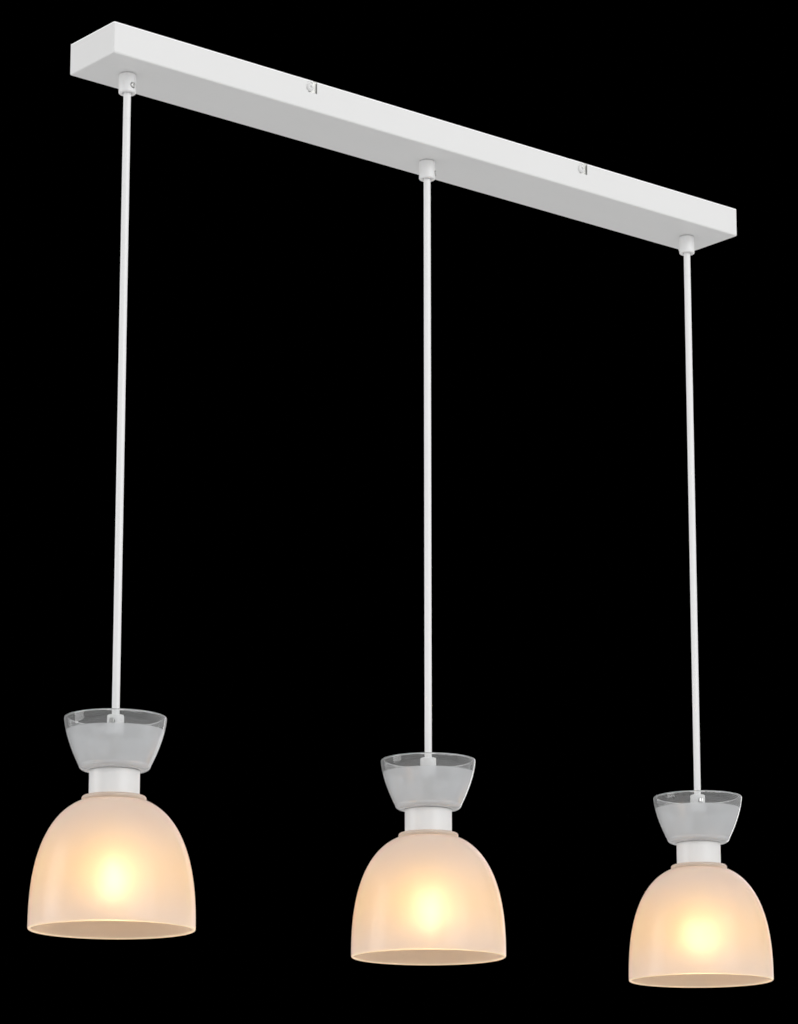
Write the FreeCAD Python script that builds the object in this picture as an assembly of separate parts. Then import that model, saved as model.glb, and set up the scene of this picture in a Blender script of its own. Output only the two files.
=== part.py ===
import FreeCAD, Part

import math
import os

# A linear ceiling pendant: a folded steel canopy hooked on a ceiling bracket, and three lamps on
# straight cords. Each lamp has an open glass bowl over a metal cylinder over a glass dome.
# Frame, in millimetres: +X along the canopy, +Z up, the ceiling at Z = 0, the middle lamp on Z.

# Canopy, a folded box open at the top
CANOPY_LENGTH = 800.0
CANOPY_WIDTH = 72.0
CANOPY_HEIGHT = 30.0
CANOPY_SHEET = 1.0
CANOPY_BEND = 1.6
CEILING_GAP = 2.0
END_MARGIN = 40.0

# Hooked notches in the long walls, and the side screws that sit in them
SCREW_SPACING = 350.0
SEAT_DEPTH = 7.3
NOTCH_DEPTH = 11.8
NOTCH_WIDTH = 5.0
NOTCH_OFFSET = 6.0
NOTCH_CORNER = 1.2
HOOK_WIDTH = 4.4
POCKET_RADIUS = 6.2
POCKET_DEPTH = 0.8
SIDE_SCREW_RADIUS = 1.95
SIDE_SCREW_LENGTH = 8.0
SCREW_HEAD_RADIUS = 4.0
SCREW_HEAD_HEIGHT = 2.4

# Ceiling bracket
BRACKET_LENGTH = 400.0
BRACKET_WIDTH = 60.0
BRACKET_SHEET = 1.5
EAR_LENGTH = 24.0
EAR_DROP = 16.0
EAR_BEND = 2.2
EAR_TIP = 3.0
PLATE_CORNER = 6.0
SLOT_SPACING = 200.0
SLOT_LENGTH = 20.0
SLOT_WIDTH = 5.5
CABLE_HOLE_X = 135.0
CABLE_HOLE_RADIUS = 10.0
EARTH_X = 118.0
EARTH_Y = -20.0
EARTH_LUG = 0.8
BOND_RUN = 9.0

# Cords and cord grips
CORD_RADIUS = 3.4
CORD_PLAY = 0.3
GRIP_HEIGHT = 19.0
CANOPY_GRIP_RADIUS = 8.0
LAMP_GRIP_RADIUS = 7.5
GRIP_ROUNDING = 2.0
MOUTH_ROUNDING = 1.2
MOUTH_RADIUS = 5.6
MOUTH_DEPTH = 2.0
STEM_RADIUS = 5.0
STEM_BORE = 3.9
THREAD_PLAY = 0.05
CANOPY_STEM_LENGTH = 7.0
SWAY_HEIGHT = 1.1
BEND_LENGTH = 14.0
TAIL_TOP = 8.0
NUT_FLATS = 14.0
NUT_HEIGHT = 3.5

# Set screws: distance from the grip's mouth, and the way each one faces, in degrees from +X
SET_SCREW_RADIUS = 1.5
SET_SCREW_FROM_MOUTH = 6.4
SET_HEAD_RADIUS = 2.6
SET_HEAD_HEIGHT = 2.6
SET_HEAD_SINK = 1.4
SET_HEAD_PLAY = 0.5
CANOPY_SCREW_FACES = (-82.0, -42.0, 100.0)
LAMP_SCREW_FACES = (-151.0, 60.0, -108.0)

# Lamp, measured down from the ceiling
BOWL_RIM_Z = -634.0
CUP_TOP_Z = -682.0
GRIP_TOP_Z = -632.0
CUP_HEIGHT = 22.5
CUP_RADIUS = 22.3
CUP_SHEET = 1.0
GLASS_WALL = 3.0
ARC_FIT = 0.1
BOWL_RIM_RADIUS = 45.2
BOWL_FOOT_RADIUS = 29.4
BOWL_POWER = 1.6
BOWL_FOOT_ROUND = 4.4
BOWL_HOLE = 5.6
DOME_HEIGHT = 118.0
DOME_RADIUS = 73.0
DOME_SIDE_POWER = 2.6
DOME_TOP_POWER = 2.47
COLLAR_RADIUS = 28.5
COLLAR_HEIGHT = 4.6
DOME_TOP_WALL = 3.5
TUBE_TOP_IN_GRIP = 7.0
TUBE_IN_HOLDER = 7.0
CLAMP_FLANGE_RADIUS = 12.0
CLAMP_FLANGE = 1.5
CLAMP_FLATS = 17.0
CLAMP_HEIGHT = 6.5

# Lampholder, its ring and its contacts
HOLDER_HEIGHT = 44.0
HOLDER_NECK_RADIUS = 18.4
HOLDER_SKIRT_RADIUS = 19.9
HOLDER_SKIRT_TOP = 17.0
HOLDER_HOLE_PLAY = 0.6
SOCKET_RADIUS = 13.9
SOCKET_CEILING = 13.5
SOCKET_MOUTH_RADIUS = 16.2
SOCKET_MOUTH_DEPTH = 5.0
CONTACT_SHELL_WALL = 0.5
CONTACT_SHELL_TOP = 3.5
CONTACT_SHELL_LENGTH = 22.0
CONTACT_BUTTON = 1.7
RING_FLANGE_RADIUS = 25.0
RING_BODY_RADIUS = 23.0
RING_FLANGE = 2.0
RING_HEIGHT = 8.0
RING_RIBS = 12

# Bulb, measured down from its contact tip
BULB_GAP = 0.3
BULB_RADIUS = 30.0
BULB_CENTRE = 75.0
BULB_NECK_RADIUS = 14.5
BULB_NECK_DROP = 31.0
BULB_WALL = 0.8
CAP_RADIUS = 13.0
CAP_LENGTH = 26.0
CAP_SHELL_TOP = 4.0
FILAMENT_SPREAD = 8.0
FILAMENT_LENGTH = 34.0
FILAMENT_RADIUS = 0.9
FILAMENTS = 4
WIRE_RADIUS = 0.6

# Terminal block and the cores that run to it
BLOCK_X = 60.0
BLOCK_LENGTH = 20.0
BLOCK_WIDTH = 32.0
BLOCK_HEIGHT = 14.0
POLE_PITCH = 10.0
POLE_BORE = 2.0
POLE_DROP = 8.0
BLOCK_NOTCH = 1.6
BLOCK_NOTCH_DEPTH = 5.0
CLAMP_SCREW_RADIUS = 1.4
CLAMP_SCREW_SPREAD = 10.0
CLAMP_SCREW_HEAD = 2.2
PEG_RADIUS = 1.9
CORE_RADIUS = 1.2
WIRE_BARE_RADIUS = 0.5
WIRE_STACK = 1.3
CORE_RING = 1.6
HIGH_LANE = -8.0
LOW_LANE = -14.0
LANE_START = 30.0
LANE_END = 40.0
LANE_SETTLE = 20.0
SHORT_LANE = 0.45
BARE_LENGTH = 6.0

# Worked-out levels and places
RIM_Z = -CEILING_GAP
FLOOR_Z = RIM_Z - CANOPY_HEIGHT
HALF_WIDTH = CANOPY_WIDTH / 2
POCKET_FACE = HALF_WIDTH - POCKET_DEPTH
EAR_FACE = POCKET_FACE - CANOPY_SHEET
SEAT_Z = RIM_Z - SEAT_DEPTH
SIDE_SCREW_Z = SEAT_Z + HOOK_WIDTH / 2 - SIDE_SCREW_RADIUS - 0.02
PLATE_Z = -BRACKET_SHEET
CANOPY_MOUTH_Z = FLOOR_Z - GRIP_HEIGHT
SWAY_Z = CANOPY_MOUTH_Z + SWAY_HEIGHT
SWING_Z = SWAY_Z - BEND_LENGTH
TAIL_BOTTOM_Z = SWAY_Z + CORD_RADIUS + CORD_PLAY
TAIL_TOP_Z = FLOOR_Z + CANOPY_SHEET + TAIL_TOP
GRIP_BASE_Z = GRIP_TOP_Z - GRIP_HEIGHT
DOME_TOP_Z = CUP_TOP_Z - CUP_HEIGHT
DOME_RIM_Z = DOME_TOP_Z - DOME_HEIGHT
HOLDER_TOP_Z = CUP_TOP_Z - CUP_SHEET
HOLDER_BOTTOM_Z = HOLDER_TOP_Z - HOLDER_HEIGHT
TUBE_TOP_Z = GRIP_BASE_Z + TUBE_TOP_IN_GRIP
TUBE_BOTTOM_Z = HOLDER_TOP_Z - TUBE_IN_HOLDER
SOCKET_Z = HOLDER_TOP_Z - SOCKET_CEILING
BULB_TIP_Z = SOCKET_Z - CONTACT_BUTTON - BULB_GAP
BULB_Z = BULB_TIP_Z - BULB_CENTRE
POLE_Z = PLATE_Z - POLE_DROP
LAMP_SPACING = CANOPY_LENGTH / 2 - END_MARGIN
LAMP_PLACES = (-LAMP_SPACING, 0.0, LAMP_SPACING)
SCREW_PLACES = (-SCREW_SPACING / 2, SCREW_SPACING / 2)

UP = FreeCAD.Vector(0, 0, 1)
HOME = FreeCAD.Vector(0, 0, 0)


def at(x, y, z):
    return FreeCAD.Vector(x, y, z)


def block(x0, x1, y0, y1, z0, z1):
    """A box from its low corner to its high corner."""
    return Part.makeBox(x1 - x0, y1 - y0, z1 - z0, at(x0, y0, z0))


def rod(radius, z0, z1, x=0.0, y=0.0):
    """An upright cylinder from z0 up to z1."""
    return Part.makeCylinder(radius, z1 - z0, at(x, y, z0))


def cross_rod(radius, y0, y1, x, z):
    """A cylinder along Y from y0 to y1."""
    return Part.makeCylinder(radius, y1 - y0, at(x, y0, z), at(0, 1, 0))


def along_x(radius, x0, x1, y, z):
    """A cylinder along X from x0 to x1."""
    return Part.makeCylinder(radius, x1 - x0, at(x0, y, z), at(1, 0, 0))


def corner(before, here, after, radius):
    """The start, middle and end of the arc of a radius that rounds one corner."""
    back = (before - here).normalize()
    ahead = (after - here).normalize()
    half = back.getAngle(ahead) / 2
    reach = radius / math.tan(half)
    centre = here + (back + ahead).normalize() * (radius / math.sin(half))
    middle = centre + (here - centre).normalize() * radius
    return here + back * reach, middle, here + ahead * reach


def edges_along(points, radii, closed):
    """Straight edges through the points, with an arc at each point that has a radius."""
    count = len(points)
    edges = []
    last = None
    first = None
    for i, (point, radius) in enumerate(zip(points, radii)):
        start, end = point, point
        if radius > 0:
            start, middle, end = corner(points[i - 1], point, points[(i + 1) % count], radius)
        if last is not None:
            edges.append(Part.LineSegment(last, start).toShape())
        else:
            first = start
        if radius > 0:
            edges.append(Part.Arc(start, middle, end).toShape())
        last = end
    if closed:
        edges.append(Part.LineSegment(last, first).toShape())
    return edges


def turned(profile):
    """A solid turned about Z from corners (radius, z) or (radius, z, rounding)."""
    points = [at(c[0], 0, c[1]) for c in profile]
    radii = [c[2] if len(c) > 2 else 0.0 for c in profile]
    return turned_edges(edges_along(points, radii, True))


def turned_edges(edges):
    """A solid turned about Z from a closed outline in the XZ plane."""
    face = Part.Face(Part.Wire(edges))
    return face.revolve(HOME, UP, 360)


def curve(pairs):
    """Tangent arcs that follow a smooth line through (radius, z) pairs."""
    spline = Part.BSplineCurve()
    spline.interpolate([at(r, 0, z) for r, z in pairs])
    return [arc.toShape() for arc in spline.toBiArcs(ARC_FIT)]


def line(pair_a, pair_b):
    return Part.LineSegment(at(pair_a[0], 0, pair_a[1]), at(pair_b[0], 0, pair_b[1])).toShape()


def hexagon(flats, z0, z1):
    """A hexagonal prism with its flats a distance apart."""
    radius = flats / math.sqrt(3)
    angles = [math.radians(60 * i) for i in range(6)]
    points = [at(radius * math.cos(a), radius * math.sin(a), z0) for a in angles]
    face = Part.Face(Part.makePolygon(points + points[:1]))
    return face.extrude(at(0, 0, z1 - z0))


def faced(shape, degrees, x, z):
    """Turns a shape made along +X to face a way round a grip at x, and lifts it to z."""
    result = shape.copy()
    result.rotate(HOME, UP, degrees)
    result.translate(at(x, 0, z))
    return result


def moved(shape, x, y=0.0, z=0.0):
    result = shape.copy()
    result.translate(at(x, y, z))
    return result


def turn_at(before, here, after):
    """The angle by which a route turns at a point, in radians."""
    return (here - before).getAngle(after - here)


def route(points):
    """The edges of a lead: straight runs, and at each turn an arc from 0.45 of the shorter run."""
    inner = [here for before, here, after in zip(points, points[1:], points[2:])
             if turn_at(before, here, after) > 0.01]
    kept = [points[0]] + inner + [points[-1]]
    radii = []
    for before, here, after in zip(kept, kept[1:], kept[2:]):
        run = min((here - before).Length, (after - here).Length)
        radii.append(0.45 * run / math.tan(turn_at(before, here, after) / 2))
    return edges_along(kept, [0.0] + radii + [0.0], False), radii


def lead(points, name):
    """A round core swept along a route."""
    edges, radii = route(points)
    path = Part.Wire(edges)
    start = (points[1] - points[0]).normalize()
    ring = Part.Wire(Part.makeCircle(CORE_RADIUS, points[0], start))
    solid = path.makePipeShell([ring], True, False)
    expected = math.pi * CORE_RADIUS ** 2 * path.Length
    print(f"{name}: {path.Length:.0f} mm long, least arc {min(radii):.1f} mm, "
          f"volume {solid.Volume / expected:.4f} of section times length")
    return solid


def hook_cutter(screw_x, y0, y1):
    """The hooked notch: down from the rim, sideways to the screw, and up to its seat."""
    left = screw_x + NOTCH_OFFSET - NOTCH_WIDTH / 2
    bottom = RIM_Z - NOTCH_DEPTH
    entry = block(left, left + NOTCH_WIDTH, y0, y1, bottom, RIM_Z + 1)
    half = HOOK_WIDTH / 2
    leg = block(screw_x, left + 0.5, y0, y1, bottom, bottom + HOOK_WIDTH)
    lead_in = cross_rod(half, y0, y1, screw_x, bottom + half)
    rise = block(screw_x - half, screw_x + half, y0, y1, bottom + half, SEAT_Z)
    seat = cross_rod(half, y0, y1, screw_x, SEAT_Z)
    return entry.fuse([leg, lead_in, rise, seat])


def folded_box():
    """The canopy's sheet: a box with rounded folds, open at the top."""
    half = CANOPY_LENGTH / 2
    outer = block(-half, half, -HALF_WIDTH, HALF_WIDTH, FLOOR_Z, RIM_Z)
    folds = [e for e in outer.Edges if min(v.Z for v in e.Vertexes) < FLOOR_Z + 0.01]
    outer = outer.makeFillet(CANOPY_BEND, folds)
    t = CANOPY_SHEET
    inner = block(-half + t, half - t, -HALF_WIDTH + t, HALF_WIDTH - t, FLOOR_Z + t, RIM_Z + t)
    folds = [e for e in inner.Edges if min(v.Z for v in e.Vertexes) < FLOOR_Z + t + 0.01]
    inner = inner.makeFillet(CANOPY_BEND - t, folds)
    return outer.cut(inner)


def canopy():
    body = folded_box()
    over_rim = block(-CANOPY_LENGTH, CANOPY_LENGTH, -CANOPY_WIDTH, CANOPY_WIDTH, RIM_Z, CANOPY_HEIGHT)
    for side in (-1, 1):
        for screw_x in SCREW_PLACES:
            reach = sorted((side * EAR_FACE, side * (HALF_WIDTH - CANOPY_SHEET / 2)))
            dish = cross_rod(POCKET_RADIUS + POCKET_DEPTH, reach[0], reach[1], screw_x, SEAT_Z)
            body = body.fuse(dish.cut(over_rim))
            pocket = sorted((side * POCKET_FACE, side * (HALF_WIDTH + 1)))
            body = body.cut(cross_rod(POCKET_RADIUS, pocket[0], pocket[1], screw_x, SEAT_Z))
            wall = sorted((side * (EAR_FACE - 1), side * (HALF_WIDTH + 1)))
            body = body.cut(hook_cutter(screw_x, wall[0], wall[1]))
    for x in LAMP_PLACES:
        body = body.cut(rod(STEM_RADIUS + 0.2, FLOOR_Z - 1, FLOOR_Z + 2, x))
    return eased_notches(body.removeSplitter())


def eased_notches(body):
    """Rounds the two corners where each notch opens in the rim."""
    mouths = [x + NOTCH_OFFSET + side * NOTCH_WIDTH / 2 for x in SCREW_PLACES for side in (-1, 1)]
    edges = []
    for edge in body.Edges:
        on_rim = all(abs(v.Z - RIM_Z) < 0.01 for v in edge.Vertexes)
        across = abs(edge.Vertexes[0].X - edge.Vertexes[-1].X) < 0.01
        at_mouth = any(abs(edge.Vertexes[0].X - m) < 0.01 for m in mouths)
        if on_rim and across and at_mouth:
            edges.append(edge)
    return body.makeFillet(NOTCH_CORNER, edges)


def bracket_ear(side):
    """One turned-down ear at x = 0, with the hole of its side screw."""
    half = EAR_LENGTH / 2
    inner, outer = BRACKET_WIDTH / 2 - 1, EAR_FACE
    flat = block(-half, half, inner, outer, PLATE_Z, 0)
    down = block(-half, half, outer - BRACKET_SHEET, outer, -EAR_DROP, 0)
    ear = flat.fuse(down).removeSplitter()
    fold = [e for e in ear.Edges if all(abs(v.Y - outer) < 0.01 and abs(v.Z) < 0.01 for v in e.Vertexes)]
    ear = ear.makeFillet(EAR_BEND, fold)
    tips = [e for e in ear.Edges if abs(e.Length - BRACKET_SHEET) < 0.01
            and all(abs(v.Z + EAR_DROP) < 0.01 for v in e.Vertexes)]
    ear = ear.makeFillet(EAR_TIP, tips)
    ear = ear.cut(cross_rod(SIDE_SCREW_RADIUS + THREAD_PLAY, outer - 4, outer + 1, 0, SIDE_SCREW_Z))
    if side < 0:
        ear = ear.mirror(HOME, at(0, 1, 0))
    return ear


def ceiling_bracket():
    half = BRACKET_LENGTH / 2
    plate = block(-half, half, -BRACKET_WIDTH / 2, BRACKET_WIDTH / 2, PLATE_Z, 0)
    corners = [e for e in plate.Edges if abs(e.Length - BRACKET_SHEET) < 0.01]
    plate = plate.makeFillet(PLATE_CORNER, corners)
    ears = [moved(bracket_ear(side), x) for side in (-1, 1) for x in SCREW_PLACES]
    plate = plate.fuse(ears)
    for x in (-SLOT_SPACING / 2, SLOT_SPACING / 2):
        plate = plate.cut(ceiling_slot(x))
    plate = plate.cut(rod(CABLE_HOLE_RADIUS, PLATE_Z - 1, 1, CABLE_HOLE_X))
    plate = plate.cut(rod(SIDE_SCREW_RADIUS + THREAD_PLAY, PLATE_Z - 1, 1, EARTH_X, EARTH_Y))
    for y in (-POLE_PITCH / 2, POLE_PITCH / 2):
        plate = plate.cut(rod(PEG_RADIUS + 0.1, PLATE_Z - 1, 1, BLOCK_X, y))
    return plate.removeSplitter()


def ceiling_slot(x):
    """A slot for a ceiling screw, round at both ends."""
    half = SLOT_WIDTH / 2
    reach = SLOT_LENGTH / 2 - half
    low, high = PLATE_Z - 1, 1
    middle = block(x - reach, x + reach, -half, half, low, high)
    return middle.fuse([rod(half, low, high, x - reach), rod(half, low, high, x + reach)])


def pan_screw(shank_radius, length, head_radius, head_height):
    """A screw on Z: its shank points up from Z = 0, its domed head hangs below."""
    return turned([(0, -head_height), (head_radius * 0.62, -head_height, 1.0),
                   (head_radius, -head_height * 0.45, 0.7), (head_radius, 0),
                   (shank_radius, 0), (shank_radius, length - 0.5), (shank_radius - 0.5, length),
                   (0, length)])


def side_screws():
    """The four side screws, heads outside the pockets."""
    screws = []
    pattern = pan_screw(SIDE_SCREW_RADIUS, SIDE_SCREW_LENGTH, SCREW_HEAD_RADIUS, SCREW_HEAD_HEIGHT)
    for side in (-1, 1):
        for x in SCREW_PLACES:
            screw = pattern.copy()
            screw.rotate(HOME, at(1, 0, 0), 90 * side)
            screw.translate(at(x, side * POCKET_FACE, SIDE_SCREW_Z))
            screws.append(screw)
    return Part.makeCompound(screws)


def grip_body(radius, stem_radius, stem_length, bore_depth):
    """A cord grip hanging from Z = 0, mouth down; a threaded stem above, or a bore for a tube."""
    mouth = -GRIP_HEIGHT
    core = CORD_RADIUS + CORD_PLAY
    outline = [(core, mouth + MOUTH_DEPTH), (MOUTH_RADIUS, mouth), (radius, mouth, MOUTH_ROUNDING)]
    if stem_length > 0:
        outline += [(radius, 0, GRIP_ROUNDING), (stem_radius, 0), (stem_radius, stem_length)]
        outline += [(core, stem_length)]
    else:
        bore = stem_radius + THREAD_PLAY
        outline += [(radius, 0, GRIP_ROUNDING), (bore, 0), (bore, -bore_depth), (core, -bore_depth)]
    body = turned(outline)
    level = mouth + SET_SCREW_FROM_MOUTH
    seat = radius - SET_HEAD_SINK
    body = body.cut(along_x(SET_SCREW_RADIUS + THREAD_PLAY, 0, radius + 1, 0, level))
    return body.cut(along_x(SET_HEAD_RADIUS + SET_HEAD_PLAY, seat, radius + 1, 0, level))


def set_screw(radius):
    """A headed set screw along +X for a grip of a radius: a slotted round head outside."""
    seat = radius - SET_HEAD_SINK
    tip = CORD_RADIUS + 0.1
    shank = along_x(SET_SCREW_RADIUS, tip, seat, 0, 0)
    head = along_x(SET_HEAD_RADIUS, seat, seat + SET_HEAD_HEIGHT, 0, 0)
    rim = [e for e in head.Edges if all(abs(v.X - seat - SET_HEAD_HEIGHT) < 0.01 for v in e.Vertexes)
           and e.Length > 1]
    head = head.makeFillet(0.5, rim)
    slot = block(seat + SET_HEAD_HEIGHT - 0.9, seat + SET_HEAD_HEIGHT + 1, -0.45, 0.45, -4, 4)
    return shank.fuse(head).cut(slot)


def canopy_grip(index):
    body = grip_body(CANOPY_GRIP_RADIUS, STEM_RADIUS, CANOPY_SHEET + CANOPY_STEM_LENGTH, 0)
    return faced(body, CANOPY_SCREW_FACES[index], LAMP_PLACES[index], FLOOR_Z)


def canopy_set_screws():
    level = CANOPY_MOUTH_Z + SET_SCREW_FROM_MOUTH
    screw = set_screw(CANOPY_GRIP_RADIUS)
    screws = [faced(screw, turn, x, level) for turn, x in zip(CANOPY_SCREW_FACES, LAMP_PLACES)]
    return Part.makeCompound(screws)


def grip_nuts():
    base = FLOOR_Z + CANOPY_SHEET
    nut = hexagon(NUT_FLATS, base, base + NUT_HEIGHT)
    top, across = base + NUT_HEIGHT, NUT_FLATS / math.sqrt(3) + 0.1
    nut = nut.common(turned([(0, base), (across, base), (across, top - 0.8), (NUT_FLATS / 2, top), (0, top)]))
    nut = nut.cut(rod(STEM_RADIUS + THREAD_PLAY, base - 1, base + NUT_HEIGHT + 1))
    return Part.makeCompound([moved(nut, x) for x in LAMP_PLACES])


def cord_tails():
    """The sheathed cord ends, from the canopy grips' mouths up into the canopy."""
    return Part.makeCompound([rod(CORD_RADIUS, TAIL_BOTTOM_Z, TAIL_TOP_Z, x) for x in LAMP_PLACES])


def terminal_block():
    """Three poles side by side along Y, wires in from both ends along X, pegs up into the plate."""
    x0, x1 = BLOCK_X - BLOCK_LENGTH / 2, BLOCK_X + BLOCK_LENGTH / 2
    low = PLATE_Z - BLOCK_HEIGHT
    body = block(x0, x1, -BLOCK_WIDTH / 2, BLOCK_WIDTH / 2, low, PLATE_Z)
    for y in (-POLE_PITCH / 2, POLE_PITCH / 2):
        y0, y1 = y - BLOCK_NOTCH / 2, y + BLOCK_NOTCH / 2
        body = body.cut(block(x0 - 1, x1 + 1, y0, y1, low - 1, low + BLOCK_NOTCH_DEPTH))
        body = body.cut(block(x0 - 1, x0 + BLOCK_NOTCH_DEPTH / 2, y0, y1, low - 1, PLATE_Z + 1))
        body = body.cut(block(x1 - BLOCK_NOTCH_DEPTH / 2, x1 + 1, y0, y1, low - 1, PLATE_Z + 1))
        body = body.fuse(rod(PEG_RADIUS, PLATE_Z - 1, -0.3, BLOCK_X, y))
    for y in (-POLE_PITCH, 0, POLE_PITCH):
        body = body.cut(along_x(POLE_BORE, x0 - 1, x1 + 1, y, POLE_Z))
        for x in (BLOCK_X - CLAMP_SCREW_SPREAD / 2, BLOCK_X + CLAMP_SCREW_SPREAD / 2):
            body = body.cut(rod(CLAMP_SCREW_RADIUS + THREAD_PLAY, low - 1, POLE_Z, x, y))
            body = body.cut(rod(CLAMP_SCREW_HEAD + 0.3, low - 1, low + 2, x, y))
    return body


def terminal_screws():
    """The clamp screws, two to a pole, driven from below on to the bared wires."""
    low = PLATE_Z - BLOCK_HEIGHT
    tip = POLE_Z - WIRE_STACK - WIRE_BARE_RADIUS - 0.1
    screws = []
    for y in (-POLE_PITCH, 0, POLE_PITCH):
        for x in (BLOCK_X - CLAMP_SCREW_SPREAD / 2, BLOCK_X + CLAMP_SCREW_SPREAD / 2):
            shank = rod(CLAMP_SCREW_RADIUS, low + 1, tip, x, y)
            head = rod(CLAMP_SCREW_HEAD, low + 0.3, low + 1.9, x, y)
            slot = block(x - 3, x + 3, y - 0.35, y + 0.35, low - 1, low + 0.9)
            screws.append(shank.fuse(head).cut(slot))
    return Part.makeCompound(screws)


def earth_screw():
    """The screw that clamps the earth lug under the bracket."""
    length = EARTH_LUG + BRACKET_SHEET - 0.1
    screw = pan_screw(SIDE_SCREW_RADIUS, length, SCREW_HEAD_RADIUS, SCREW_HEAD_HEIGHT)
    return moved(screw, EARTH_X, EARTH_Y, PLATE_Z - EARTH_LUG)


def core_points(index, pole):
    """The route of one core from a cord's end to its pole: up, along its lane, into the block."""
    x = LAMP_PLACES[index]
    ahead = 1 if x < BLOCK_X else -1
    entry = BLOCK_X - ahead * BLOCK_LENGTH / 2
    lane = LOW_LANE if index == 1 else HIGH_LANE
    stack = (WIRE_STACK, -WIRE_STACK, -WIRE_STACK)[index]
    start_x = x + ahead * CORE_RING * (1 - 1.5 * abs(pole))
    start_y = pole * CORE_RING * math.sqrt(3) / 2
    share = SHORT_LANE if index == 1 else 1.0
    return [at(start_x, start_y, TAIL_TOP_Z),
            at(start_x, start_y, lane),
            at(x + ahead * share * LANE_START, pole * POLE_PITCH, lane),
            at(entry - ahead * share * LANE_END, pole * POLE_PITCH, lane),
            at(entry - ahead * share * LANE_SETTLE, pole * POLE_PITCH, POLE_Z + stack),
            at(entry - ahead * 0.5, pole * POLE_PITCH, POLE_Z + stack)]


def bared(points, length):
    """The bare wire that goes straight on from a core's end."""
    ahead = (points[-1] - points[-2]).normalize()
    return Part.makeCylinder(WIRE_BARE_RADIUS, length + 1, points[-1] - ahead, ahead)


def pole_leads(pole, name):
    """The three cores that meet in one pole."""
    leads = []
    for index in range(3):
        points = core_points(index, pole)
        leads.append(lead(points, f"{name} {index + 1}").fuse(bared(points, BARE_LENGTH)))
    return leads


def earth_leads():
    """The cords' earth cores, and the bonding lead from the block to the bracket's earth screw."""
    leads = pole_leads(0, "earth_leads")
    entry = BLOCK_X + BLOCK_LENGTH / 2
    level = PLATE_Z - CORE_RADIUS - 0.1
    points = [at(EARTH_X - BOND_RUN, EARTH_Y, level), at(EARTH_X - 2 * BOND_RUN, EARTH_Y, level),
              at(entry + 1.5 * BOND_RUN, 0, POLE_Z + WIRE_STACK), at(entry + 0.5, 0, POLE_Z + WIRE_STACK)]
    bond = lead(points, "earth bond").fuse(bared(points, BARE_LENGTH)).fuse(earth_lug(level))
    return Part.makeCompound(leads + [bond])


def earth_lug(level):
    """The ring under the earth screw and the barrel crimped on the bonding lead."""
    low = PLATE_Z - EARTH_LUG
    ring = rod(SCREW_HEAD_RADIUS, low, PLATE_Z, EARTH_X, EARTH_Y)
    tongue = block(EARTH_X - 7, EARTH_X, EARTH_Y - 1.5, EARTH_Y + 1.5, low, PLATE_Z)
    hole = rod(SIDE_SCREW_RADIUS + 0.1, PLATE_Z - 3, 1, EARTH_X, EARTH_Y)
    barrel = along_x(CORE_RADIUS, EARTH_X - 9.5, EARTH_X - SCREW_HEAD_RADIUS - 0.2, EARTH_Y, level)
    return ring.fuse(tongue).cut(hole).fuse(barrel)


def cord_bend():
    """The stretch of cord that flexes: a round top at the sway pivot, a flat foot at the swing pivot."""
    rounded = Part.makeSphere(CORD_RADIUS, at(0, 0, SWAY_Z))
    straight = rod(CORD_RADIUS, SWING_Z, SWAY_Z)
    return straight.fuse(rounded).removeSplitter()


def cord():
    """The free cord, hanging straight from the swing pivot into the lamp's stem."""
    return rod(CORD_RADIUS, TUBE_BOTTOM_Z, SWING_Z)


def lamp_grip(index):
    body = grip_body(LAMP_GRIP_RADIUS, STEM_RADIUS, 0, TUBE_TOP_IN_GRIP)
    body.rotate(HOME, at(1, 0, 0), 180)
    return faced(body, LAMP_SCREW_FACES[index], 0, GRIP_BASE_Z)


def lamp_set_screw(index):
    level = GRIP_TOP_Z - SET_SCREW_FROM_MOUTH
    return faced(set_screw(LAMP_GRIP_RADIUS), LAMP_SCREW_FACES[index], 0, level)


def stem_tube():
    """The threaded tube that carries the lamp, open right through for the cord."""
    return turned([(STEM_BORE, TUBE_BOTTOM_Z), (STEM_RADIUS, TUBE_BOTTOM_Z), (STEM_RADIUS, TUBE_TOP_Z),
                   (STEM_BORE, TUBE_TOP_Z)])


def clamp_nut():
    """The flange nut inside the upper glass."""
    base = CUP_TOP_Z + GLASS_WALL
    top, edge = base + CLAMP_FLANGE, CLAMP_FLANGE_RADIUS
    flange = turned([(0, base), (edge, base, 0.4), (edge, top, 0.4), (0, top)])
    nut = flange.fuse(hexagon(CLAMP_FLATS, top, base + CLAMP_HEIGHT))
    return nut.cut(rod(STEM_RADIUS + THREAD_PLAY, base - 1, base + CLAMP_HEIGHT + 1))


def bowl_radius(height):
    """The bowl's outer radius at a height over its foot: steep at the rim, leaning in to the foot."""
    share = 1 - height / (BOWL_RIM_Z - CUP_TOP_Z)
    return BOWL_RIM_RADIUS - (BOWL_RIM_RADIUS - BOWL_FOOT_RADIUS) * share ** BOWL_POWER


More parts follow.
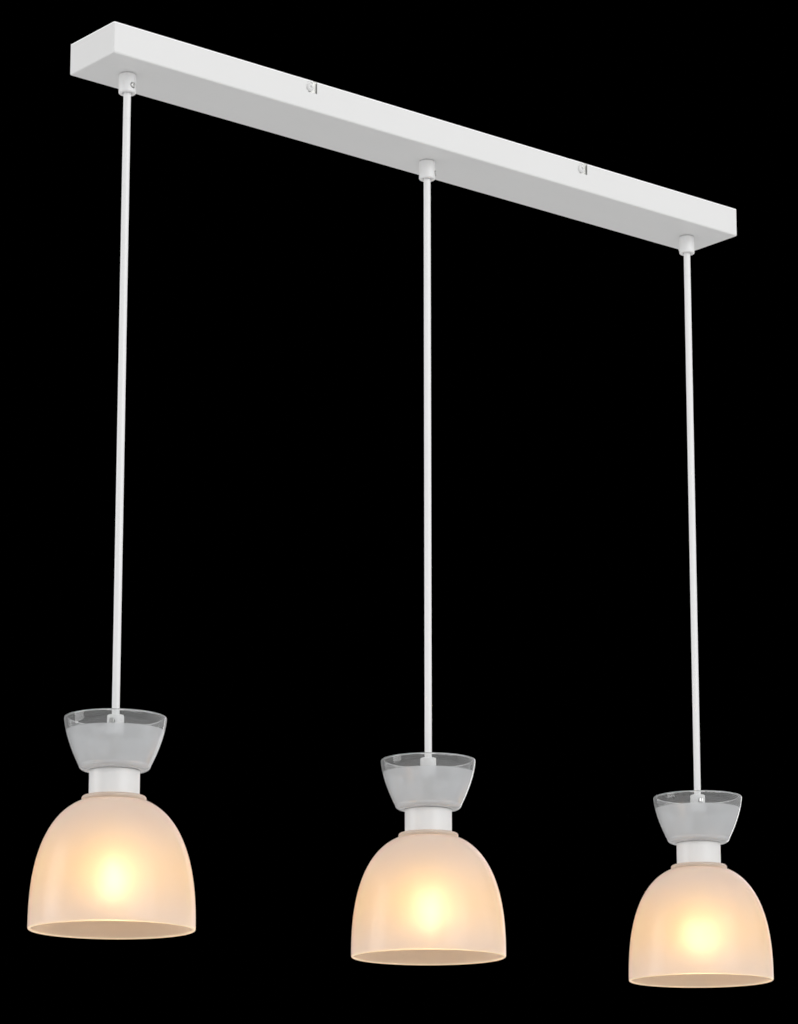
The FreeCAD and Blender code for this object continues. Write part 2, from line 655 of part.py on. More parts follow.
def upper_glass():
    """The open bowl: a flat foot with a hole, a rounded heel and a convex wall."""
    height = BOWL_RIM_Z - CUP_TOP_Z
    low = BOWL_FOOT_ROUND
    steps = [low + (height - low) * i / 5 for i in range(6)]
    outside = [(bowl_radius(h), CUP_TOP_Z + h) for h in steps]
    inside = [(r - GLASS_WALL, z) for r, z in outside[1:]]
    inside[-1] = (inside[-1][0], BOWL_RIM_Z)
    foot = bowl_radius(0)
    heel = (foot - 1.3, CUP_TOP_Z + 1.3)
    toe = (foot - BOWL_FOOT_ROUND, CUP_TOP_Z)
    floor = CUP_TOP_Z + GLASS_WALL
    inner_toe = (foot - BOWL_FOOT_ROUND - 0.8, floor)
    bend = Part.Arc(at(toe[0], 0, toe[1]), at(heel[0], 0, heel[1]), at(outside[0][0], 0, outside[0][1]))
    edges = [line((BOWL_HOLE, CUP_TOP_Z), toe), bend.toShape()] + curve(outside)
    edges += [line(outside[-1], inside[-1])] + curve(inside[::-1] + [inner_toe])
    edges += [line(inner_toe, (BOWL_HOLE, floor)), line((BOWL_HOLE, floor), (BOWL_HOLE, CUP_TOP_Z))]
    return turned_edges(edges)


def dome_radius(drop, height, radius):
    """The radius of a dome at a drop below its top: a superellipse, upright at the rim."""
    return radius * (1 - (1 - drop / height) ** DOME_TOP_POWER) ** (1 / DOME_SIDE_POWER)


def lower_glass():
    """The glass dome: a flat top round the holder's hole, a rounded collar, then the bell."""
    hole = HOLDER_SKIRT_RADIUS + HOLDER_HOLE_PLAY
    start = COLLAR_HEIGHT + 0.4
    shares = (0.0, 0.03, 0.08, 0.16, 0.28, 0.45, 0.7, 1.0)
    drops = [start + (DOME_HEIGHT - start) * s for s in shares]
    outside = [(dome_radius(d, DOME_HEIGHT, DOME_RADIUS), DOME_TOP_Z - d) for d in drops]
    inner_height = DOME_HEIGHT - GLASS_WALL
    inside = [(dome_radius(d - GLASS_WALL, inner_height, DOME_RADIUS - GLASS_WALL), DOME_TOP_Z - d)
              for d in drops if d > start + 2]
    shoulder = (COLLAR_RADIUS - 3, DOME_TOP_Z - DOME_TOP_WALL)
    bead_top = (COLLAR_RADIUS - COLLAR_HEIGHT / 2, DOME_TOP_Z)
    bead_side = (COLLAR_RADIUS, DOME_TOP_Z - COLLAR_HEIGHT / 2)
    bead_foot = (COLLAR_RADIUS - 0.5, DOME_TOP_Z - COLLAR_HEIGHT)
    bead = Part.Arc(at(bead_top[0], 0, bead_top[1]), at(bead_side[0], 0, bead_side[1]),
                    at(bead_foot[0], 0, bead_foot[1]))
    edges = [line((hole, DOME_TOP_Z), bead_top), bead.toShape(), line(bead_foot, outside[0])]
    edges += curve(outside) + [line(outside[-1], inside[-1])] + curve(inside[::-1])
    edges += [line(inside[0], shoulder), line(shoulder, (hole, shoulder[1])),
              line((hole, shoulder[1]), (hole, DOME_TOP_Z))]
    return turned_edges(edges)


def lamp_cup():
    """The white metal cylinder: a cup with its mouth down on the dome's top."""
    inner = CUP_RADIUS - CUP_SHEET
    return turned([(STEM_RADIUS + 0.2, CUP_TOP_Z), (CUP_RADIUS, CUP_TOP_Z, 0.8), (CUP_RADIUS, DOME_TOP_Z),
                   (inner, DOME_TOP_Z), (inner, HOLDER_TOP_Z), (STEM_RADIUS + 0.2, HOLDER_TOP_Z)])


def lampholder():
    """The holder's moulded body: a rounded neck, a skirt for the ring, and the socket below."""
    bore = STEM_RADIUS + THREAD_PLAY
    top, low = HOLDER_TOP_Z, HOLDER_BOTTOM_Z
    return turned([(bore, top), (HOLDER_NECK_RADIUS - 3, top), (HOLDER_NECK_RADIUS, top - 5, 2.5),
                   (HOLDER_NECK_RADIUS, top - HOLDER_SKIRT_TOP),
                   (HOLDER_SKIRT_RADIUS, top - HOLDER_SKIRT_TOP - 1.5), (HOLDER_SKIRT_RADIUS, low + 0.5),
                   (HOLDER_SKIRT_RADIUS - 0.5, low), (SOCKET_MOUTH_RADIUS + 0.5, low),
                   (SOCKET_MOUTH_RADIUS, low + 0.5), (SOCKET_MOUTH_RADIUS, low + SOCKET_MOUTH_DEPTH),
                   (SOCKET_RADIUS, low + SOCKET_MOUTH_DEPTH), (SOCKET_RADIUS, SOCKET_Z), (0, SOCKET_Z),
                   (0, SOCKET_Z + 4), (bore, SOCKET_Z + 4)])


def lamp_contacts():
    """The screw shell, and the centre contact's button on the socket's ceiling."""
    outer = SOCKET_RADIUS - THREAD_PLAY
    inner = outer - CONTACT_SHELL_WALL
    top = SOCKET_Z - CONTACT_SHELL_TOP
    low = top - CONTACT_SHELL_LENGTH
    shell = turned([(inner, low), (outer, low), (outer, top), (inner, top)])
    button = turned([(0, SOCKET_Z - CONTACT_BUTTON), (1.5, SOCKET_Z - CONTACT_BUTTON), (3.0, SOCKET_Z - 0.8),
                     (5.0, SOCKET_Z - 0.8), (5.0, SOCKET_Z), (0, SOCKET_Z)])
    return Part.makeCompound([shell, button])


def shade_ring():
    """The ring that screws up the skirt and presses the dome against the cup."""
    bore = HOLDER_SKIRT_RADIUS + THREAD_PLAY * 2
    top = DOME_TOP_Z - DOME_TOP_WALL
    ring = turned([(bore, top), (RING_FLANGE_RADIUS, top), (RING_FLANGE_RADIUS, top - RING_FLANGE),
                   (RING_BODY_RADIUS, top - RING_FLANGE), (RING_BODY_RADIUS, top - RING_HEIGHT, 0.6),
                   (bore, top - RING_HEIGHT)])
    groove = rod(1.2, top - RING_HEIGHT - 1, top - RING_FLANGE, RING_BODY_RADIUS + 0.4)
    for i in range(RING_RIBS):
        cutter = groove.copy()
        cutter.rotate(HOME, UP, 360 * i / RING_RIBS)
        ring = ring.cut(cutter)
    return ring


def bulb_cap():
    """The bulb's screw cap, its black insulator cone and its tip as one closed piece."""
    tip = BULB_TIP_Z
    low = tip - CAP_LENGTH
    return turned([(0, tip), (3.5, tip), (4.8, tip - 0.8), (9.5, tip - CAP_SHELL_TOP + 0.8),
                   (CAP_RADIUS - 1.5, tip - CAP_SHELL_TOP), (CAP_RADIUS, tip - CAP_SHELL_TOP - 1.5),
                   (CAP_RADIUS, low), (0, low)])


def bulb_outline(inset):
    """The bulb's profile: an upright neck, a hollow curve, then the ball down to its pole."""
    ball = BULB_RADIUS - inset
    neck = BULB_NECK_RADIUS - inset
    top = BULB_TIP_Z - CAP_LENGTH
    neck_z = BULB_TIP_Z - BULB_NECK_DROP
    rise = neck_z - BULB_Z
    hollow = (rise ** 2 - ball ** 2 + neck ** 2) / (2 * (ball - neck))
    centre = (neck + hollow, neck_z)
    meet = (centre[0] * ball / (ball + hollow), BULB_Z + rise * ball / (ball + hollow))
    middle = hollow_middle(centre, hollow, (neck, neck_z), meet)
    shoulder = Part.Arc(at(neck, 0, neck_z), middle, at(meet[0], 0, meet[1]))
    sweep = (math.atan2(meet[1] - BULB_Z, meet[0]) - math.pi / 2) / 2
    belly = (ball * math.cos(sweep), BULB_Z + ball * math.sin(sweep))
    round_end = Part.Arc(at(meet[0], 0, meet[1]), at(belly[0], 0, belly[1]), at(0, 0, BULB_Z - ball))
    return [line((neck, top), (neck, neck_z)), shoulder.toShape(), round_end.toShape()]


def hollow_middle(centre, radius, one, other):
    """The middle of the shorter arc between two points of a circle in the XZ plane."""
    middle = at((one[0] + other[0]) / 2 - centre[0], 0, (one[1] + other[1]) / 2 - centre[1]).normalize()
    return at(centre[0], 0, centre[1]) + middle * radius


def bulb_glass():
    """The thin envelope, open where it meets the cap."""
    top = BULB_TIP_Z - CAP_LENGTH
    outer = bulb_outline(0.0)
    inner = bulb_outline(BULB_WALL)
    axis_low = line((0, BULB_Z - BULB_RADIUS), (0, BULB_Z - BULB_RADIUS + BULB_WALL))
    mouth = line((BULB_NECK_RADIUS - BULB_WALL, top), (BULB_NECK_RADIUS, top))
    return turned_edges(Part.sortEdges(outer + [axis_low] + inner + [mouth])[0])


def bulb_filament():
    """The glass stem and the lit rods round it, joined by a wire spider at each end."""
    top = BULB_TIP_Z - CAP_LENGTH
    high = BULB_Z + FILAMENT_LENGTH / 2
    low = BULB_Z - FILAMENT_LENGTH / 2
    stem = turned([(0, top), (7.0, top), (5.0, top - 6, 2.0), (2.2, top - 14, 2.0),
                   (2.2, high - 2, 1.0), (0, high - 2)])
    mast = rod(WIRE_RADIUS, low - 1, high - 1)
    rods = []
    for i in range(FILAMENTS):
        spoke_top = along_x(WIRE_RADIUS, 0, FILAMENT_SPREAD, 0, high)
        spoke_low = along_x(WIRE_RADIUS, 0, FILAMENT_SPREAD, 0, low)
        lit = rod(FILAMENT_RADIUS, low, high, FILAMENT_SPREAD)
        arm = lit.fuse([spoke_top, spoke_low])
        arm.rotate(HOME, UP, 360 * i / FILAMENTS + 45)
        rods.append(arm)
    return stem.fuse([mast, rod(WIRE_RADIUS, high - 3, high + 0.3)] + rods)


def save(name, shape):
    if not shape.isValid():
        print("not valid:", name)
    shape.exportStep(os.path.join("parts", name + ".step"))
    print(f"{name}: {len(shape.Solids)} solids, {shape.Volume / 1000:.2f} cm3")


def save_ceiling_parts():
    save("ceiling_bracket", ceiling_bracket())
    save("canopy", canopy())
    save("side_screws", side_screws())
    for index in range(3):
        save(f"canopy_grip_{index + 1}", canopy_grip(index))
    save("canopy_set_screws", canopy_set_screws())
    save("grip_nuts", grip_nuts())
    save("cord_tails", cord_tails())
    save("terminal_block", terminal_block())
    save("terminal_screws", terminal_screws())
    save("earth_screw", earth_screw())
    save("live_leads", Part.makeCompound(pole_leads(-1, "live_leads")))
    save("neutral_leads", Part.makeCompound(pole_leads(1, "neutral_leads")))
    save("earth_leads", earth_leads())


def save_lamps():
    """The parts of one hanging lamp, made on Z and then moved to each lamp's place."""
    shared = {"cord_bend": cord_bend(), "cord": cord(), "stem_tube": stem_tube(), "clamp_nut": clamp_nut(),
              "upper_glass": upper_glass(), "lamp_cup": lamp_cup(), "lampholder": lampholder(),
              "lamp_contacts": lamp_contacts(), "shade_ring": shade_ring(), "lower_glass": lower_glass(),
              "bulb_cap": bulb_cap(), "bulb_glass": bulb_glass(), "bulb_filament": bulb_filament()}
    for index, x in enumerate(LAMP_PLACES):
        pieces = dict(shared, lamp_grip=lamp_grip(index), lamp_set_screw=lamp_set_screw(index))
        for name, shape in pieces.items():
            save(f"{name}_{index + 1}", moved(shape, x))


os.makedirs("parts", exist_ok=True)
print(f"each cord hangs straight for {SWING_Z - TUBE_BOTTOM_Z:.1f} mm, with no bend")
save_ceiling_parts()
save_lamps()
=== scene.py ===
# %% [markdown]
# # A bar pendant with three glass lamps
#
# A white box canopy is screwed to the ceiling. Three straight white cords hang from it, and each carries
# a lamp: a small open glass bowl, a white metal cylinder, and a satin glass dome with a lit bulb inside.
#
# This lesson adds what CAD leaves plain: the finishes, smooth glass, screw heads with their recesses, the
# bulb's thread, and the cords.
#
# Everything is in metres, with +Z up and the ceiling at z = 0. The middle lamp hangs on the Z axis.

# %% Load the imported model
import bmesh
import bpy
import numpy as np
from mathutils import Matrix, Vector


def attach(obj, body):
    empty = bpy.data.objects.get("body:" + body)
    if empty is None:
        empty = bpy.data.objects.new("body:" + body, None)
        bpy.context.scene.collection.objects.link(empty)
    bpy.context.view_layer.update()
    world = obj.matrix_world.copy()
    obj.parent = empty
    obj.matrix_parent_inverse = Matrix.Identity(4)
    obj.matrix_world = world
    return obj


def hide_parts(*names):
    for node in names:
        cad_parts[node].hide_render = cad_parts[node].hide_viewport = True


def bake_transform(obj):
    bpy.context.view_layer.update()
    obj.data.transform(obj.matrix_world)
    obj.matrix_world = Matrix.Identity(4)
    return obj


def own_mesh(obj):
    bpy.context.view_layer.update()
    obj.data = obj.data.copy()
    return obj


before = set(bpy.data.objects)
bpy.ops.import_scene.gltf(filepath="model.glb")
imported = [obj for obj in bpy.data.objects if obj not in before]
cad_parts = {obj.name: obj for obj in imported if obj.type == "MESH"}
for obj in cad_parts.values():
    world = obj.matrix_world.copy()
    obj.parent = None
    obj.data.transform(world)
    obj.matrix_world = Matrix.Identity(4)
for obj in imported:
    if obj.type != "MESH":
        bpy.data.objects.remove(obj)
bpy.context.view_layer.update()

PLACES = {1: -0.360, 2: 0.0, 3: 0.360}

# %% [markdown]
# ## The camera
#
# A photograph fixes its camera once a few points of known place are found in it. Here the canopy's corners,
# the cord grips and the rims of the glass were used. The camera stands below and to the left, looks up a
# little, and has a long lens. A small vertical shift keeps the cords upright in the picture.

# %% Place the camera
CAMERA_PLACE = (-1.9072, -2.2759, -1.1307)
YAW = 0.6881
PITCH = 0.2054
FOCAL_PIXELS = 3153.6
LONG_SIDE = 1024
SENSOR = 36
SHIFT_UP = 0.12

camera_data = bpy.data.cameras.new("camera")
camera_data.sensor_width = SENSOR
camera_data.lens = FOCAL_PIXELS * SENSOR / LONG_SIDE
camera_data.shift_y = SHIFT_UP
camera = bpy.data.objects.new("camera", camera_data)
bpy.context.scene.collection.objects.link(camera)
camera.location = CAMERA_PLACE
ahead = Vector((np.sin(YAW) * np.cos(PITCH), np.cos(YAW) * np.cos(PITCH), np.sin(PITCH)))
camera.rotation_euler = ahead.to_track_quat("-Z", "Y").to_euler()
bpy.context.scene.camera = camera
print("lens:", round(camera_data.lens, 2), "mm")

# %% [markdown]
# ## Surfaces from grids of points
#
# Nearly every new piece here is round, so it can be worked out as a grid: one row of points for each place
# along a profile, one column for each angle round the axis. Numpy makes the whole grid at once, and the
# faces are the grid's cells. A profile that ends on the axis gives a row of points in one place, which are
# merged into a pole.

# %% Turn a grid into a mesh
MERGE_WITHIN = 1e-7


def skin(name, grid, loop=False, smooth_below=35):
    """A closed surface through grid[row, column], with one face to each cell of the grid.

    Columns close round the axis, and rows too if loop is set.
    """
    rows, columns = grid.shape[:2]
    index = np.arange(rows * columns).reshape(rows, columns)
    low = index if loop else index[:-1]
    high = np.roll(index, -1, axis=0) if loop else index[1:]
    corners = [low, np.roll(low, -1, axis=1), np.roll(high, -1, axis=1), high]
    quads = np.stack(corners, axis=-1).reshape(-1, 4)
    mesh = bpy.data.meshes.new(name)
    mesh.from_pydata(grid.reshape(-1, 3).tolist(), [], quads.tolist())
    work = bmesh.new()
    work.from_mesh(mesh)
    bmesh.ops.remove_doubles(work, verts=work.verts, dist=MERGE_WITHIN)
    bmesh.ops.delete(work, geom=[edge for edge in work.edges if edge.is_wire], context="EDGES")
    bmesh.ops.recalc_face_normals(work, faces=work.faces)
    work.to_mesh(mesh)
    work.free()
    mesh.shade_smooth()
    mesh.set_sharp_from_angle(angle=np.radians(smooth_below))
    piece = bpy.data.objects.new(name, mesh)
    bpy.context.scene.collection.objects.link(piece)
    return piece


# %% Curves to build profiles from
def angles(columns):
    """Even steps round a circle, one for each column."""
    return np.linspace(0, 2 * np.pi, columns, endpoint=False)


def turned_grid(radius, height, x, columns):
    """A surface round an upright axis: (r, z) becomes (x + r cos a, r sin a, z) at each angle a."""
    angle = angles(columns)
    flat = np.ones_like(angle)[None, :]
    return np.stack([x + radius * np.cos(angle), radius * np.sin(angle), height * flat], axis=-1)


def arc(middle, radii, start, end, steps):
    """Points (r0 + a cos t, z0 + b sin t) of a circle or an ellipse, with t going from start to end."""
    t = np.linspace(start, end, steps)
    return np.column_stack([middle[0] + radii[0] * np.cos(t), middle[1] + radii[1] * np.sin(t)])


def rounded(start, corner, end, steps):
    """Points (1 - t)^2 start + 2 t (1 - t) corner + t^2 end, with t going from 0 to 1."""
    t = np.linspace(0, 1, steps)[:, None]
    return (1 - t) ** 2 * start + 2 * t * (1 - t) * corner + t ** 2 * end


def eased(points, radii, steps=6):
    """A polyline of (r, z) points, with a rounded corner wherever one has a radius."""
    points = np.array(points, float)
    made = []
    for i, radius in enumerate(radii):
        here = points[i]
        if radius == 0:
            made.append(here[None])
            continue
        back = points[i - 1] - here
        on = points[(i + 1) % len(points)] - here
        start = here + back / np.linalg.norm(back) * radius
        end = here + on / np.linalg.norm(on) * radius
        made.append(rounded(start, here, end, steps))
    return np.concatenate(made)


# %% [markdown]
# ## Shader maths that reads like arithmetic
#
# A node tree is a calculation. Drawing it by hand is slow to read, so a small class wraps one output socket
# and turns `+`, `-` and `*` into Math nodes. Any other node comes from one method, which takes the node's
# type, its settings and the values or links of its sockets.

# %% The class that wraps a socket
class Wire:
    """One output of a node. Arithmetic on it adds Math nodes and gives a new Wire."""

    def __init__(self, finish, socket):
        self.finish = finish
        self.socket = socket

    def math(self, operation, first, second):
        return self.finish.node("ShaderNodeMath", {"operation": operation}, {0: first, 1: second})

    def __add__(self, other):
        return self.math("ADD", self, other)

    __radd__ = __add__

    def __sub__(self, other):
        return self.math("SUBTRACT", self, other)

    def __rsub__(self, other):
        return self.math("SUBTRACT", other, self)

    def __mul__(self, other):
        return self.math("MULTIPLY", self, other)

    __rmul__ = __mul__


# %% The class that builds every finish
class Finish:
    """A material being made. place is the point on the piece, in metres, in the object's own frame."""

    def __init__(self, name):
        self.clear(bpy.data.materials.new(name))
        self.place = self.node("ShaderNodeTexCoord", out="Object")

    def clear(self, owner):
        """Starts an empty node tree on a new material or world."""
        self.owner = owner
        self.owner.use_nodes = True
        self.tree = self.owner.node_tree
        self.tree.nodes.clear()

    def node(self, kind, settings=None, sockets=None, out=0):
        """Adds a node, sets its settings, then fills its sockets with numbers, colours or Wires."""
        made = self.tree.nodes.new(kind)
        for name, value in (settings or {}).items():
            setattr(made, name, value)
        for name, value in (sockets or {}).items():
            if isinstance(value, Wire):
                self.tree.links.new(value.socket, made.inputs[name])
            else:
                made.inputs[name].default_value = value
        return None if out is None else Wire(self, made.outputs[out])

    def axis(self, letter):
        return self.node("ShaderNodeSeparateXYZ", {}, {"Vector": self.place}, out=letter)

    def noise(self, size, detail=2.0, roughness=0.5, stretch=None):
        """Smooth noise from 0 to 1 whose blobs are about size metres across, or stretched along an axis."""
        where = self.place
        if stretch:
            where = self.node("ShaderNodeMapping", {}, {"Vector": where, "Scale": stretch})
        sockets = {"Vector": where, "Scale": 1 / size, "Detail": detail, "Roughness": roughness}
        return self.node("ShaderNodeTexNoise", {}, sockets)

    def between(self, value, low, high, start=0.0, end=1.0):
        """start where value is at low, end where it is at high, and a smooth step in between."""
        sockets = {"Value": value, "From Min": low, "From Max": high, "To Min": start, "To Max": end}
        return self.node("ShaderNodeMapRange", {"interpolation_type": "SMOOTHSTEP"}, sockets)

    def mix(self, share, first, second):
        """A colour that is first where share is 0 and second where it is 1."""
        return self.node("ShaderNodeMix", {"data_type": "RGBA"}, {0: share, 6: first, 7: second}, out=2)

    def blend(self, share, first, second):
        """A shader that is first where share is 0 and second where it is 1."""
        return self.node("ShaderNodeMixShader", {}, {0: share, 1: first, 2: second})

    def bump(self, height, depth, strength):
        """A normal for a relief of that depth, in metres."""
        sockets = {"Height": height, "Distance": depth, "Strength": strength}
        return self.node("ShaderNodeBump", {}, sockets, out="Normal")

    def shader(self, sockets):
        return self.node("ShaderNodeBsdfPrincipled", {}, sockets, out="BSDF")

    def done(self, shader):
        self.node("ShaderNodeOutputMaterial", {}, {"Surface": shader}, out=None)
        return self.owner


# %% Give a finish to pieces
def dress(material, *names):
    """Gives a material to pieces or CAD nodes by name."""
    for name in names:
        slots = bpy.data.objects[name].data.materials
        slots.clear()
        slots.append(material)


def each(name):
    """The names of one piece on all three lamps."""
    return [f"{name}_{k}" for k in PLACES]


# %% [markdown]
# ## Powder-coated steel
#
# The canopy and the short cylinders are steel with a baked white powder coat. Up close the coat has a fine
# orange peel, about a millimetre from dimple to dimple, and its gloss drifts a little. Noise in the normal
# gives the peel. The colour stays nearly even, as the eye notices any stain on white. Along the canopy's
# top edge runs a painted highlight: a thin, brighter line in the colour where that edge catches the light.

# %% White powder coat
PEEL_SIZE = 0.0011
PEEL_DEPTH = 0.00006
TOP_EDGE_HIGHLIGHT = (-0.0036, -0.0028)


def powder_coat():
    f = Finish("white powder coat")
    peel = f.noise(PEEL_SIZE, detail=1.5)
    drift = f.noise(0.09, detail=3)
    even = f.mix(drift, (0.785, 0.785, 0.78, 1), (0.815, 0.815, 0.81, 1))
    # painted highlight: the top few millimetres of the canopy turn lighter, standing in for light caught by
    # its top edge
    colour = f.mix(f.between(f.axis("Z"), *TOP_EDGE_HIGHLIGHT), even, (0.95, 0.95, 0.95, 1))
    return f.done(f.shader({"Base Color": colour, "Roughness": 0.36 + drift * 0.1,
                            "Coat Weight": 0.12, "Coat Roughness": 0.22,
                            "Normal": f.bump(peel, PEEL_DEPTH, 0.35)}))


COAT = powder_coat()
dress(COAT, "canopy", *each("lamp_cup"))
print("powder coat on the canopy and the cylinders")

# %% [markdown]
# ## Moulded plastic
#
# The cord grips, their nuts, the terminal block and the lampholders are moulded in white plastic. Moulded
# plastic is very smooth, with a faint haze of flow marks and a bluish or creamy cast that sets it apart
# from paint.

# %% White plastics
FLOW_SIZE = 0.015
HAZE_SIZE = 0.0005
HAZE_DEPTH = 0.00003


def moulded(name, light, dark, roughness):
    f = Finish(name)
    flow = f.noise(FLOW_SIZE, detail=4, stretch=(1, 1, 0.4))
    haze = f.noise(HAZE_SIZE, detail=1)
    return f.done(f.shader({"Base Color": f.mix(flow, dark, light), "Roughness": roughness + flow * 0.12,
                            "Normal": f.bump(haze, HAZE_DEPTH, 0.3), "Subsurface Weight": 0.08,
                            "Subsurface Radius": (0.0015, 0.0012, 0.001), "Subsurface Scale": 1.0}))


GRIP_PLASTIC = moulded("grip plastic", (0.85, 0.85, 0.845, 1), (0.81, 0.81, 0.81, 1), 0.3)
HOLDER_PLASTIC = moulded("lampholder plastic", (0.78, 0.775, 0.76, 1), (0.74, 0.735, 0.72, 1), 0.4)
BLOCK_PLASTIC = moulded("terminal block plastic", (0.74, 0.73, 0.68, 1), (0.68, 0.67, 0.62, 1), 0.45)
dress(GRIP_PLASTIC, *each("canopy_grip"), *each("lamp_grip"), *each("clamp_nut"), "grip_nuts")
dress(HOLDER_PLASTIC, *each("lampholder"), *each("shade_ring"))
dress(BLOCK_PLASTIC, "terminal_block")
print("plastics on the grips, nuts, holders and block")

# %% [markdown]
# ## Bare metals
#
# The bracket is zinc-plated strip: grey, softly shiny, with drawn lines along its length. The terminal and
# earth screws are plated steel, the socket's contacts brass, the bulb's cap aluminium.

# %% Plated steel, brass and aluminium
CLOUD_SIZE = 0.012
SCRATCH_SIZE = 0.0006
SCRATCH_DEPTH = 0.00002


def metal(name, light, dark, roughness, lines=(1, 1, 1)):
    """lines squeezes the noise along an axis, which draws the scratches out along it."""
    f = Finish(name)
    cloud = f.noise(CLOUD_SIZE, detail=5, roughness=0.6)
    drawn = f.noise(SCRATCH_SIZE, detail=2, stretch=lines)
    return f.done(f.shader({"Base Color": f.mix(cloud, dark, light), "Metallic": 1.0,
                            "Roughness": roughness + drawn * 0.18 + cloud * 0.06,
                            "Normal": f.bump(drawn, SCRATCH_DEPTH, 0.25)}))


ZINC = metal("zinc plate", (0.60, 0.60, 0.58, 1), (0.47, 0.47, 0.45, 1), 0.3, lines=(0.05, 1, 1))
PLATED = metal("plated screws", (0.68, 0.68, 0.67, 1), (0.55, 0.55, 0.54, 1), 0.22)
BRASS = metal("contact brass", (0.78, 0.58, 0.28, 1), (0.62, 0.44, 0.2, 1), 0.25)
ALUMINIUM = metal("bulb cap aluminium", (0.78, 0.78, 0.79, 1), (0.66, 0.66, 0.68, 1), 0.28,
                  lines=(1, 1, 0.1))
dress(ZINC, "ceiling_bracket", *each("stem_tube"))
dress(PLATED, "terminal_screws", "earth_screw", "canopy_set_screws", *each("lamp_set_screw"))
dress(BRASS, *each("lamp_contacts"))
dress(ALUMINIUM, *each("bulb_cap"))
print("metals on the bracket, screws, contacts and caps")

# %% [markdown]
# ## Insulated wires
#
# Inside the canopy run brown, blue and green-and-yellow wires. The stripes of an earth wire are part of its
# plastic, so they can be worked out from the point's place: two bands round the wire's axis. These wires
# run mostly along X, so the angle round that axis would need its centre; a slow wave along X and Y reads
# the same at this size and needs none.

# %% Wire sheaths and the outer sheath of the cords
GRAIN_SIZE = 0.0007
GRAIN_DEPTH = 0.00002
STRIPES_ALONG_X = 900
STRIPES_ALONG_Y = 1300
STRIPE_EDGE = 0.25


def sheath(name, light, dark, roughness=0.35):
    f = Finish(name)
    drift = f.noise(0.02, detail=3)
    grain = f.noise(GRAIN_SIZE, detail=1, stretch=(1, 1, 0.25))
    return f.done(f.shader({"Base Color": f.mix(drift, dark, light), "Roughness": roughness + drift * 0.12,
                            "Normal": f.bump(grain, GRAIN_DEPTH, 0.4)}))


def earth_sheath():
    f = Finish("earth wire sheath")
    phase = f.axis("X") * STRIPES_ALONG_X + f.axis("Y") * STRIPES_ALONG_Y
    wave = f.node("ShaderNodeMath", {"operation": "SINE"}, {0: phase})
    share = f.between(wave, -STRIPE_EDGE, STRIPE_EDGE)
    colour = f.mix(share, (0.05, 0.24, 0.04, 1), (0.75, 0.6, 0.05, 1))
    return f.done(f.shader({"Base Color": colour, "Roughness": 0.4 + share * 0.05}))


dress(sheath("live wire sheath", (0.17, 0.07, 0.03, 1), (0.12, 0.05, 0.02, 1)), "live_leads")
dress(sheath("neutral wire sheath", (0.03, 0.12, 0.45, 1), (0.02, 0.09, 0.35, 1)), "neutral_leads")
dress(earth_sheath(), "earth_leads")
CORD_SHEATH = sheath("cord sheath", (0.87, 0.87, 0.87, 1), (0.84, 0.84, 0.84, 1), 0.28)
dress(CORD_SHEATH, "cord_tails")
print("sheaths on the wires and cord ends")

# %% [markdown]
# ## Screw heads with a cross recess
#
# A pan head is round, but its recess isn't. Both come from one grid: rows go from the middle of the head
# out over its dome and back along the shank, and the rows near the middle sink wherever a point of the grid
# lies in one of the two crossed slots. Each slot's depth is a product of two soft steps, one across it and
# one along it.

# %% Sizes of a side screw
HEAD_RADIUS = 0.004
HEAD_HEIGHT = 0.0024
HEAD_SIDE = 0.00108
CROWN_RADIUS = 0.00248
FLAT_RADIUS = 0.0021
FLAT_ROWS = 22
SHANK_RADIUS = 0.00195
SHANK_LENGTH = 0.008
SHANK_POINT = 0.0005
CROWN_BAND = 0.0001
RECESS_DEPTH = 0.0011
RECESS_TURN = 0.08
SLOT_HALF_WIDTH = 0.00056
SLOT_SIDE_RAMP = 0.00012
SLOT_HALF_LENGTH = 0.0016
SLOT_END_RAMP = 0.0003
HEAD_SEAT_Y = 0.0352
SCREW_Z = -0.00907
SCREW_PLACES = {"left": -0.175, "right": 0.175}
SCREW_SIDES = {"near": -1, "far": 1}
print("a side screw's head is", 2000 * HEAD_RADIUS, "mm across")


# %% Side screws
def slot_share(across, along):
    """1 inside a slot 1 mm wide and 3 mm long, 0 outside: a ramp across it times a ramp along it."""
    width = np.clip((SLOT_HALF_WIDTH - np.abs(across)) / SLOT_SIDE_RAMP, 0, 1)
    length = np.clip((SLOT_HALF_LENGTH - np.abs(along)) / SLOT_END_RAMP, 0, 1)
    return width * length


def screw_profile():
    """(r, out) from the middle of the head to the end of the shank."""
    flat = np.column_stack([np.linspace(0, FLAT_RADIUS, FLAT_ROWS), np.full(FLAT_ROWS, HEAD_HEIGHT)])
    head = eased([(0.0022, HEAD_HEIGHT), (CROWN_RADIUS, HEAD_HEIGHT), (HEAD_RADIUS, HEAD_SIDE),
                  (HEAD_RADIUS, 0), (SHANK_RADIUS, 0)], [0, 0.0003, 0.0007, 0, 0])
    shank = np.array([(SHANK_RADIUS, SHANK_POINT - SHANK_LENGTH),
                      (SHANK_RADIUS - SHANK_POINT, -SHANK_LENGTH), (0.0, -SHANK_LENGTH)])
    return np.concatenate([flat, head, shank])


def cross_head_screw(name, x, side, columns=120):
    """A screw in the side of the canopy, its head outwards. side is -1 for the near side, 1 for the far.

    The head's flat top sinks by the recess's depth times the share of the slot that a point lies in.
    """
    radius, out = screw_profile().T[:, :, None]
    angle = angles(columns)[None, :] + RECESS_TURN
    u, v = radius * np.cos(angle), radius * np.sin(angle)
    on_top = out > HEAD_HEIGHT - CROWN_BAND
    sunk = out - RECESS_DEPTH * on_top * np.maximum(slot_share(u, v), slot_share(v, u))
    screw = skin(name, np.stack([x + u, side * (HEAD_SEAT_Y + sunk), v + SCREW_Z], axis=-1))
    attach(screw, "ceiling_body")
    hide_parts("side_screws")
    dress(COAT, screw.name)
    return len(screw.data.polygons)


